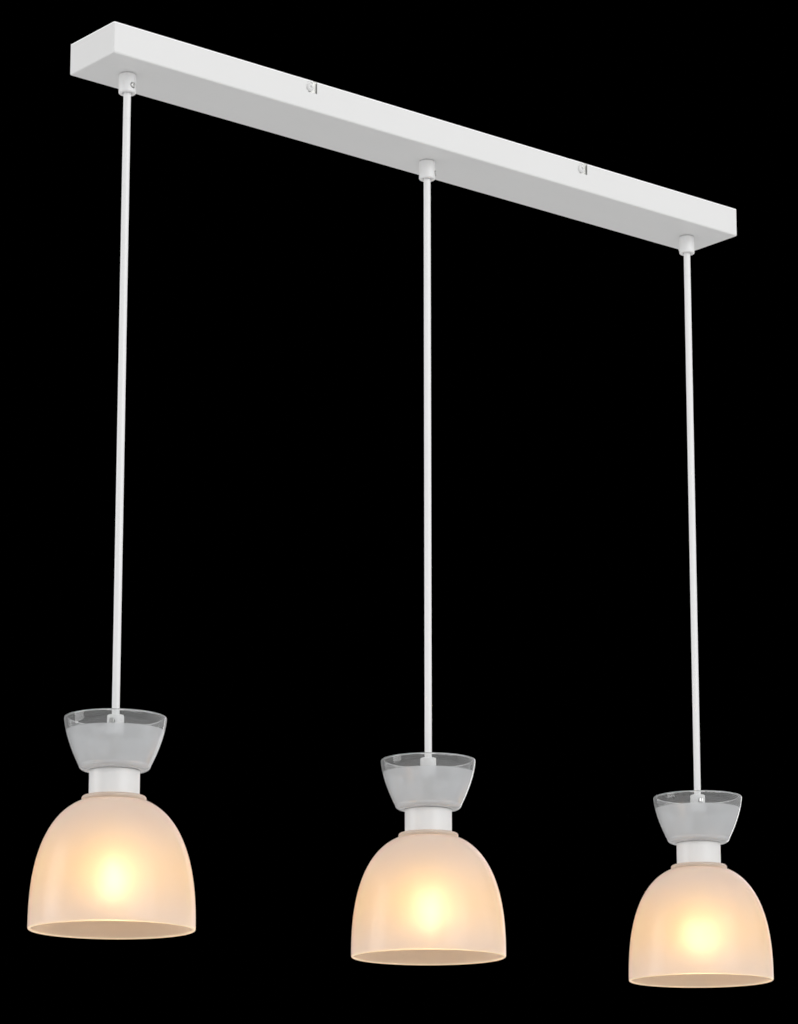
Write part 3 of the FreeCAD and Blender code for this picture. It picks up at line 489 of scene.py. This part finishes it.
for side_name, side in SCREW_SIDES.items():
    for end_name, x in SCREW_PLACES.items():
        count = cross_head_screw(f"{side_name}_screw_{end_name}", x, side)
        print(side_name, end_name, "screw:", count, "faces")

# %% [markdown]
# ## The cords
#
# Each cord is 6.8 mm flex, pulled straight by its lamp. Its line is a NURBS curve through the CAD route's
# ends. The tube follows points read from that curve: at each point a ring of points stands square to the
# line. A short second piece fills the stretch under the canopy where the real cord flexes as it leaves
# its grip.

# %% Heights along a cord
CORD_RADIUS = 0.0034
SWAY_Z = -0.0499
SWING_Z = -0.0639
BEND_FOOT = -0.076
CORD_MIDDLE = -0.38
CORD_END = -0.690
LAP = 0.0002
print("each cord hangs free for", round(BEND_FOOT - CORD_END, 4), "m")


# %% Tubes on curves
def route_points(name, places):
    """Points along a NURBS curve of order 3 whose control points are places, as Blender evaluates it."""
    curve = bpy.data.curves.new(name, "CURVE")
    curve.dimensions = "3D"
    curve.resolution_u = 16
    spline = curve.splines.new("NURBS")
    spline.points.add(len(places) - 1)
    spline.points.foreach_set("co", np.column_stack([places, np.ones(len(places))]).ravel())
    spline.order_u = 3
    spline.use_endpoint_u = True
    helper = bpy.data.objects.new(name, curve)
    mesh = bpy.data.meshes.new_from_object(helper)
    points = np.zeros(len(mesh.vertices) * 3)
    mesh.vertices.foreach_get("co", points)
    bpy.data.objects.remove(helper)
    return points.reshape(-1, 3)


def upright_tube(name, line, radius, round_top=False, columns=32):
    """A tube round a downward line: each point of the line plus radius times (cos a, sin a, 0).

    With round_top, a dome stands on its top end: the rings' radius is the root of R^2 - lift^2.
    """
    rings = np.full(len(line), radius)
    points = line
    if round_top:
        lift = np.sin(np.linspace(np.pi / 2, 0, 10)) * radius
        dome = line[0] + np.outer(lift, (0, 0, 1))
        points = np.concatenate([dome, line[1:]])
        rings = np.concatenate([np.sqrt(np.maximum(radius ** 2 - lift ** 2, 0)), rings[1:]])
    points = np.concatenate([points[:1], points, points[-1:]])
    rings = np.concatenate([[0], rings, [0]])
    angle = angles(columns)
    ring = np.stack([np.cos(angle), np.sin(angle), np.zeros(columns)], axis=-1)
    return skin(name, points[:, None, :] + rings[:, None, None] * ring[None])


# %% The three cords
def make_cord(k, x):
    line = route_points(f"route_{k}", [(x, 0, BEND_FOOT), (x, 0, CORD_MIDDLE), (x, 0, CORD_END)])
    cord = upright_tube(f"hanging_cord_{k}", line, CORD_RADIUS)
    top = route_points(f"bend_{k}", [(x, 0, SWAY_Z), (x, 0, SWING_Z), (x, 0, BEND_FOOT - LAP)])
    bend = upright_tube(f"flexing_cord_{k}", top, CORD_RADIUS, round_top=True)
    dress(CORD_SHEATH, cord.name, bend.name)
    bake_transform(bend)
    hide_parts(f"cord_bend_{k}")
    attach(cord, f"hanger_{k}")
    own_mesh(cord)
    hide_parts(f"cord_{k}")
    return len(line)


for k, x in PLACES.items():
    print("cord", k, "follows", make_cord(k, x), "points")

# %% [markdown]
# ## The glass
#
# Both shades are blown glass about 3 mm thick. Each is a surface of revolution whose profile goes down the
# outside, round the rim, and up the inside. The dome's outside is a superellipse, which is upright at the
# rim and flat at the top. The bowl's wall is a power curve that leans in to its foot.

# %% Sizes of the two shades
WALL = 0.003

DOME_TOP = -0.7045
DOME_HEIGHT = 0.118
DOME_RADIUS = 0.073
DOME_TOP_POWER = 2.47
DOME_SIDE_POWER = 2.6
DOME_TOP_WALL = 0.0035
DOME_HOLE = 0.0205
DOME_HOLE_LAND = 0.005
BELL_START = 0.005
BELL_START_INSIDE = 0.0072
RIM_STRAIGHT = 0.0062
BEAD_RADIUS = 0.0023
BEAD_MIDDLE = 0.0262
BEAD_TUCK = 0.2

BOWL_FOOT = -0.682
BOWL_HEIGHT = 0.048
BOWL_RADIUS = 0.0452
BOWL_LEAN = 0.0158
BOWL_POWER = 1.6
BOWL_FLAT = 0.0249
BOWL_HEEL = 0.0044
BOWL_HEEL_INSIDE = 0.0085
BOWL_FLAT_INSIDE = 0.0225
BOWL_HOLE = 0.0056
print("a dome is", 2000 * DOME_RADIUS, "mm across and a bowl", 2000 * BOWL_RADIUS, "mm")


# %% The dome's profile
def dome_radius(drop, height, radius):
    """r = R (1 - (1 - drop / H) ^ 2.47) ^ (1 / 2.6)"""
    return radius * (1 - (1 - drop / height) ** DOME_TOP_POWER) ** (1 / DOME_SIDE_POWER)


def dome_profile():
    """Collar bead, bell, rounded rim, the same way back inside, and the hole in the top.

    The rows of the bell lie closest where it curves most, at its top. Also gives the first inner row.
    """
    share = np.linspace(0, 1, 60) ** 1.7
    drop = BELL_START + (DOME_HEIGHT - RIM_STRAIGHT - BELL_START) * share
    outside = np.column_stack([dome_radius(drop, DOME_HEIGHT, DOME_RADIUS), DOME_TOP - drop])
    drop = drop[drop > BELL_START_INSIDE][::-1]
    inner = dome_radius(drop - WALL, DOME_HEIGHT - WALL, DOME_RADIUS - WALL)
    inside = np.column_stack([inner, DOME_TOP - drop])
    rim = arc((DOME_RADIUS - WALL / 2, DOME_TOP - DOME_HEIGHT + WALL / 2),
              (0.995 * WALL / 2, -WALL / 2), 0, np.pi, 12)
    bead = arc((BEAD_MIDDLE, DOME_TOP - BEAD_RADIUS), (BEAD_RADIUS, BEAD_RADIUS),
               np.pi / 2, -np.pi / 2 + BEAD_TUCK, 14)
    under = DOME_TOP - DOME_TOP_WALL
    hole = np.array([(DOME_HOLE + DOME_HOLE_LAND, under), (DOME_HOLE, under), (DOME_HOLE, DOME_TOP)])
    rows = np.concatenate([bead, outside, rim, inside, hole])
    return rows, len(bead) + len(outside) + len(rim) - 1


# %% The bowl's profile
def bowl_radius(height):
    """r = 45.2 - 15.8 (1 - h / 48) ^ 1.6, in millimetres"""
    return BOWL_RADIUS - BOWL_LEAN * np.clip(1 - height / BOWL_HEIGHT, 0, 1) ** BOWL_POWER


def bowl_profile():
    """Flat foot, rounded heel, leaning wall, rounded rim, and the inside."""
    height = np.linspace(BOWL_HEEL, BOWL_HEIGHT - WALL / 2, 40)
    wall = np.column_stack([bowl_radius(height), BOWL_FOOT + height])
    heel = arc((BOWL_FLAT, BOWL_FOOT + BOWL_HEEL), (wall[0, 0] - BOWL_FLAT, BOWL_HEEL), -np.pi / 2, 0, 12)
    rim = arc((BOWL_RADIUS - WALL / 2, BOWL_FOOT + BOWL_HEIGHT - WALL / 2), (WALL / 2, WALL / 2),
              0, np.pi, 12)
    inner = height[height > BOWL_HEEL_INSIDE][::-1]
    inside = np.column_stack([bowl_radius(inner) - WALL, BOWL_FOOT + inner])
    base = BOWL_FOOT + WALL
    inner_heel = rounded(inside[-1], np.array((BOWL_FLAT, base)), np.array((BOWL_FLAT_INSIDE, base)), 10)
    hole = np.array([(BOWL_HOLE, base), (BOWL_HOLE, BOWL_FOOT)])
    return np.concatenate([heel[:-1], wall, rim[1:-1], inside[:-1], inner_heel, hole])


# %% Glass on all three lamps
def mark_inside(piece, x, profile, inner_row):
    """Stores on each point whether it lies on the inner skin, by its nearest row: 1 inside, 0 outside."""
    points = np.zeros(len(piece.data.vertices) * 3)
    piece.data.vertices.foreach_get("co", points)
    points = points.reshape(-1, 3)
    radius = np.hypot(points[:, 0] - x, points[:, 1])
    gap = (radius[:, None] - profile[:, 0]) ** 2 + (points[:, 2][:, None] - profile[:, 1]) ** 2
    inside = (gap.argmin(axis=1) >= inner_row).astype(np.float32)
    piece.data.attributes.new("inside", "FLOAT", "POINT").data.foreach_set("value", inside)


def glassware(name, profile, node, body, inner_row=None):
    """The same turned shape on each lamp, in place of its CAD node. Rows from inner_row are its inside."""
    for k, x in PLACES.items():
        piece = skin(f"{name}_{k}", turned_grid(profile[:, :1], profile[:, 1:], x, 160), loop=True)
        if inner_row:
            mark_inside(piece, x, profile, inner_row)
        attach(piece, f"{body}_{k}")
        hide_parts(f"{node}_{k}")
    print(name, len(piece.data.polygons), "faces each")


dome_rows, dome_inside = dome_profile()
glassware("satin_dome", dome_rows, "lower_glass", "lamp", dome_inside)
glassware("open_bowl", bowl_profile(), "upper_glass", "lamp")

# %% [markdown]
# ## Satin glass, lit from inside
#
# Etched glass does two things to light. Part of it goes through and is only blurred, which is why the
# bulb shows as a soft hot spot. The rest is scattered in the etched skin and makes the whole shade glow.
# The first part is rough transmission, in two lobes: a narrow one for the hot spot's core and a wide one
# for its halo. The second hardly depends on the eye's place, so it can be an emission that fades with the
# distance from the bulb, a little pink where the glass is thick and cool.

# %% Dome glass
GLOW_Z = -0.7735
GLOW_REACH = 0.055
COLLAR_FADE = (DOME_TOP - 0.012, DOME_TOP - 0.003)
RIM_LINE = (DOME_TOP - DOME_HEIGHT + 0.0018, DOME_TOP - DOME_HEIGHT + 0.0008)
ETCH_SIZE = 0.0006
ETCH_DEPTH = 0.00003
CORE_SHARE = 0.4


def dome_glow(f):
    """Brightest level with the bulb, cooler at the collar, a bright line at the rim, none on the inside."""
    height = f.axis("Z")
    away = f.node("ShaderNodeMath", {"operation": "ABSOLUTE"}, {0: height - GLOW_Z})
    near_bulb = f.between(away, 0.0, GLOW_REACH, 1.0, 0.0)
    bell = f.mix(near_bulb, (0.14, 0.092, 0.082, 1), (0.23, 0.115, 0.025, 1))
    outside = f.mix(f.between(height, *COLLAR_FADE), bell, (0.11, 0.07, 0.055, 1))
    inside = f.node("ShaderNodeAttribute", {"attribute_name": "inside"}, out="Fac")
    both = f.mix(inside, outside, (0.0, 0.0, 0.0, 1))
    return f.mix(f.between(height, *RIM_LINE), both, (0.3, 0.22, 0.12, 1))


def satin_glass():
    f = Finish("satin dome glass")
    glow = dome_glow(f)
    cloud = f.noise(0.04, detail=3)
    relief = f.bump(f.noise(ETCH_SIZE, detail=2), ETCH_DEPTH, 0.3)

    def lobe(roughness, light, dark):
        return f.shader({"Base Color": f.mix(cloud, light, dark), "Roughness": roughness + cloud * 0.06,
                         "IOR": 1.45, "Transmission Weight": 0.7, "Coat Weight": 0.25,
                         "Coat Roughness": 0.12, "Emission Color": glow, "Emission Strength": 1.0,
                         "Normal": relief})

    halo = lobe(0.72, (1.0, 0.91, 0.74, 1), (0.98, 0.88, 0.71, 1))
    core = lobe(0.32, (1.0, 0.98, 0.99, 1), (0.98, 0.95, 0.96, 1))
    return f.done(f.blend(CORE_SHARE, halo, core))


dress(satin_glass(), *each("satin_dome"))
print("satin glass on the domes")

# %% Bowl glass
ETCH_LINE = -0.6470
ETCH_FADE = 0.0010


def bowl_glass():
    """Clear glass, with a satin skin below the line where the etching stops."""
    f = Finish("bowl glass")
    clear_share = f.between(f.axis("Z"), ETCH_LINE, ETCH_LINE + ETCH_FADE)
    cloud = f.noise(0.03, detail=3)
    relief = f.bump(f.noise(ETCH_SIZE, detail=2), ETCH_DEPTH, 0.3)
    satin = f.shader({"Base Color": (0.935, 0.95, 0.965, 1), "Roughness": 0.12 + cloud * 0.06, "IOR": 1.45,
                      "Transmission Weight": 0.6, "Coat Weight": 0.3, "Coat Roughness": 0.1,
                      "Normal": relief})
    clear = f.shader({"Base Color": (0.97, 0.98, 0.98, 1), "Roughness": 0.03, "IOR": 1.5,
                      "Transmission Weight": 0.88})
    return f.done(f.blend(clear_share, satin, clear))


dress(bowl_glass(), *each("open_bowl"))
print("bowl glass on the bowls")

# %% [markdown]
# ## The bulb
#
# The bulb has a clear envelope, a turned screw cap and four lit rods round a glass stem. The cap's thread
# is round, like a wave: its radius falls and rises with the height and the angle, so that one wave climbs
# 3.6 mm in each turn. A grid whose radius depends on both is still one array.

# %% Sizes of the bulb
BULB_TIP = -0.6985
CAP_RADIUS = 0.0130
CAP_LENGTH = 0.026
CAP_TIP = [(0.0, 0), (0.0035, 0), (0.0048, 0.0008), (0.0095, 0.0032), (0.0115, 0.004)]
CAP_TIP_EASING = [0, 0, 0.0006, 0.001, 0]
THREAD_PITCH = 0.0036
THREAD_DEPTH = 0.0009
THREAD_START = 0.0042
THREAD_START_RAMP = 0.0012
THREAD_END = 0.0225
THREAD_END_RAMP = 0.0015
BALL_RADIUS = 0.030
NECK_RADIUS = 0.0145
NECK_DROP = 0.031
ENVELOPE_WALL = 0.0008
ROD_TOP = GLOW_Z + 0.011
print("a bulb's ball is", 2000 * BALL_RADIUS, "mm across")


# %% The threaded cap
def threaded_cap(k, x, rows=90, columns=72):
    """r = R - d (1 - cos(2 pi z / 3.6 mm + a)) / 2 on the threaded part, plain at both ends."""
    body = np.column_stack([np.full(rows, CAP_RADIUS), np.linspace(THREAD_START, CAP_LENGTH, rows)])
    profile = np.concatenate([eased(CAP_TIP, CAP_TIP_EASING), body, [(0.0, CAP_LENGTH)]])
    plain, drop = profile[:, :1], profile[:, 1:]
    begun = np.clip((drop - THREAD_START) / THREAD_START_RAMP, 0, 1)
    left = np.clip((THREAD_END - drop) / THREAD_END_RAMP, 0, 1)
    wave = 1 - np.cos(2 * np.pi * drop / THREAD_PITCH + angles(columns))
    radius = np.maximum(plain - THREAD_DEPTH * begun * left * wave / 2, 0)
    piece = skin(f"screw_cap_{k}", turned_grid(radius, BULB_TIP - drop, x, columns), smooth_below=50)
    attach(piece, f"bulb_{k}")
    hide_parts(f"bulb_cap_{k}")
    dress(ALUMINIUM, piece.name)
    return len(piece.data.polygons)


for k, x in PLACES.items():
    print("screw cap", k, "has", threaded_cap(k, x), "faces")


# %% The glass envelope
def envelope_profile(steps=40):
    """Straight neck, a hollow arc that leans out, then the ball, and the same way back 0.8 mm inside.

    The hollow arc's radius h makes it touch the ball: (neck + h)^2 + rise^2 = (ball + h)^2.
    """
    neck_z = BULB_TIP - NECK_DROP
    rise = neck_z - GLOW_Z
    hollow = (rise ** 2 - BALL_RADIUS ** 2 + NECK_RADIUS ** 2) / (2 * (BALL_RADIUS - NECK_RADIUS))
    lean = np.arctan2(rise, NECK_RADIUS + hollow)
    shoulder = arc((NECK_RADIUS + hollow, neck_z), (-hollow, -hollow), 0, lean, steps // 2)
    ball = arc((0, GLOW_Z), (BALL_RADIUS, BALL_RADIUS), lean, -np.pi / 2, steps)
    outside = np.concatenate([[(NECK_RADIUS, BULB_TIP - CAP_LENGTH)], shoulder, ball[1:]])
    outside[-1, 0] = 0
    slope = np.gradient(outside, axis=0)
    normal = np.column_stack([-slope[:, 1], slope[:, 0]])
    normal /= np.linalg.norm(normal, axis=1)[:, None]
    inside = outside - ENVELOPE_WALL * normal * np.sign(normal[0, 0])
    inside[0, 1] = outside[0, 1]
    inside[-1] = (0, outside[-1, 1] + ENVELOPE_WALL)
    return np.concatenate([outside, inside[::-1]])


glassware("bulb_envelope", envelope_profile(), "bulb_glass", "bulb")

# %% Lit glass and rods
HEAT_TOP = -0.7275
HEAT_FULL = -0.755


def bulb_glass():
    """Clear glass with a faint glow that fades to nothing up its neck."""
    f = Finish("lit bulb glass")
    facing = f.node("ShaderNodeLayerWeight", {}, {"Blend": 0.5}, out="Facing")
    colour = f.mix(facing, (1.0, 0.62, 0.12, 1), (1.0, 0.52, 0.08, 1))
    glow = f.mix(f.between(f.axis("Z"), HEAT_TOP, HEAT_FULL), (0, 0, 0, 1), colour)
    return f.done(f.shader({"Base Color": (1, 0.98, 0.94, 1), "Roughness": 0.1, "IOR": 1.45,
                            "Transmission Weight": 1.0, "Emission Color": glow, "Emission Strength": 0.24}))


def lit_rods():
    """Bright below ROD_TOP, dark above it and on the stem."""
    f = Finish("lit rods")
    run = f.noise(0.003, detail=1)
    colour = f.mix(run, (1.0, 0.66, 0.42, 1), (1.0, 0.70, 0.46, 1))
    light = f.mix(f.between(f.axis("Z"), ROD_TOP + 0.001, ROD_TOP), (0, 0, 0, 1), colour)
    return f.done(f.shader({"Base Color": (0.85, 0.80, 0.7, 1), "Roughness": 0.3 + run * 0.1,
                            "Emission Color": light, "Emission Strength": 19.0}))


dress(bulb_glass(), *each("bulb_envelope"))
dress(lit_rods(), *each("bulb_filament"))
print("bulbs lit")

# %% [markdown]
# ## Light and floor
#
# The photograph is a studio shot on black: white surfaces are evenly bright, a little darker underneath.
# That is the light of a white tent, cut out against black afterwards. Here the world lights surfaces and
# shows in soft reflections, but stays black to the camera and behind glass. Soft lights shape it: one from
# the front, one from the left and behind, and a narrow one at the right for bright edges. A pale floor lies
# far below, as it would in a room.

# %% World
FRONT_PANEL = (-0.25, -0.5)
ABOVE_PANEL = (0.02, 0.25)
SIDE_PANEL = (0.55, 0.75)
SIDE_SHARE = 0.3
GAP_LIGHT = 0.25


class Surround(Finish):
    """The world's node tree, built as a finish is. place is the direction that a ray goes in."""

    def __init__(self, name):
        self.clear(bpy.data.worlds.new(name))
        self.place = self.node("ShaderNodeTexCoord", out="Generated")

    def ray_is(self, kind):
        return self.node("ShaderNodeLightPath", out=f"Is {kind} Ray")

    def done(self, shader):
        self.node("ShaderNodeOutputWorld", {}, {"Surface": shader}, out=None)
        return self.owner


def white_tent(on_surfaces, in_reflections):
    """Even light on surfaces; in reflections two bright panels with darker gaps, and black behind glass."""
    w = Surround("white tent")
    front = w.between(w.axis("Y"), *FRONT_PANEL)
    above = w.between(w.axis("Z"), *ABOVE_PANEL)
    side = w.between(w.axis("X"), *SIDE_PANEL)
    panels = (front * above + side * SIDE_SHARE) * in_reflections + GAP_LIGHT
    mirrored = w.ray_is("Glossy") * (1 - w.ray_is("Transmission"))
    strength = w.ray_is("Diffuse") * on_surfaces + mirrored * panels
    return w.done(w.node("ShaderNodeBackground", {}, {"Color": (1, 1, 1, 1), "Strength": strength}))


bpy.context.scene.world = white_tent(0.64, 1.3)
print("world:", bpy.context.scene.world.name)


# %% Lights
def softbox(name, place, target, size, power):
    """A white rectangular light that the camera doesn't see, neither straight nor through glass."""
    data = bpy.data.lights.new(name, "AREA")
    data.shape = "RECTANGLE"
    data.size, data.size_y = size
    data.energy = power
    light = bpy.data.objects.new(name, data)
    light.location = place
    light.rotation_euler = (Vector(target) - Vector(place)).to_track_quat("-Z", "Y").to_euler()
    light.visible_camera = False
    light.visible_transmission = False
    bpy.context.scene.collection.objects.link(light)


softbox("front light", (0.2, -4.2, 0.6), (0, 0, -0.4), (3.0, 2.5), 69)
softbox("left light", (-3.6, 2.2, 0.2), (0, 0, -0.4), (2.0, 2.5), 50)
softbox("edge light", (3.2, 1.6, -0.3), (0, 0, -0.5), (0.6, 2.5), 6)

# %% Floor
FLOOR_Z = -3.2
FLOOR_REACH = 20
FLOOR_LINES = 9


def pale_floor():
    f = Finish("pale floor")
    cloud = f.noise(0.6, detail=4)
    return f.done(f.shader({"Base Color": f.mix(cloud, (0.71, 0.71, 0.71, 1), (0.75, 0.75, 0.75, 1)),
                            "Roughness": 0.7 + cloud * 0.1}))


def far_floor():
    """A flat square of 8 by 8 cells, 40 m wide."""
    ticks = np.linspace(-FLOOR_REACH, FLOOR_REACH, FLOOR_LINES)
    x, y = np.meshgrid(ticks, ticks, indexing="ij")
    points = np.stack([x, y, np.full_like(x, FLOOR_Z)], axis=-1)
    index = np.arange(x.size).reshape(x.shape)
    corners = [index[:-1, :-1], index[1:, :-1], index[1:, 1:], index[:-1, 1:]]
    quads = np.stack(corners, axis=-1).reshape(-1, 4)
    mesh = bpy.data.meshes.new("floor")
    mesh.from_pydata(points.reshape(-1, 3).tolist(), [], quads.tolist())
    floor = bpy.data.objects.new("floor", mesh)
    bpy.context.scene.collection.objects.link(floor)
    dress(pale_floor(), "floor")
    return floor


far_floor()
bpy.context.scene.view_settings.view_transform = "Standard"
print("floor", -FLOOR_Z, "m below the ceiling")
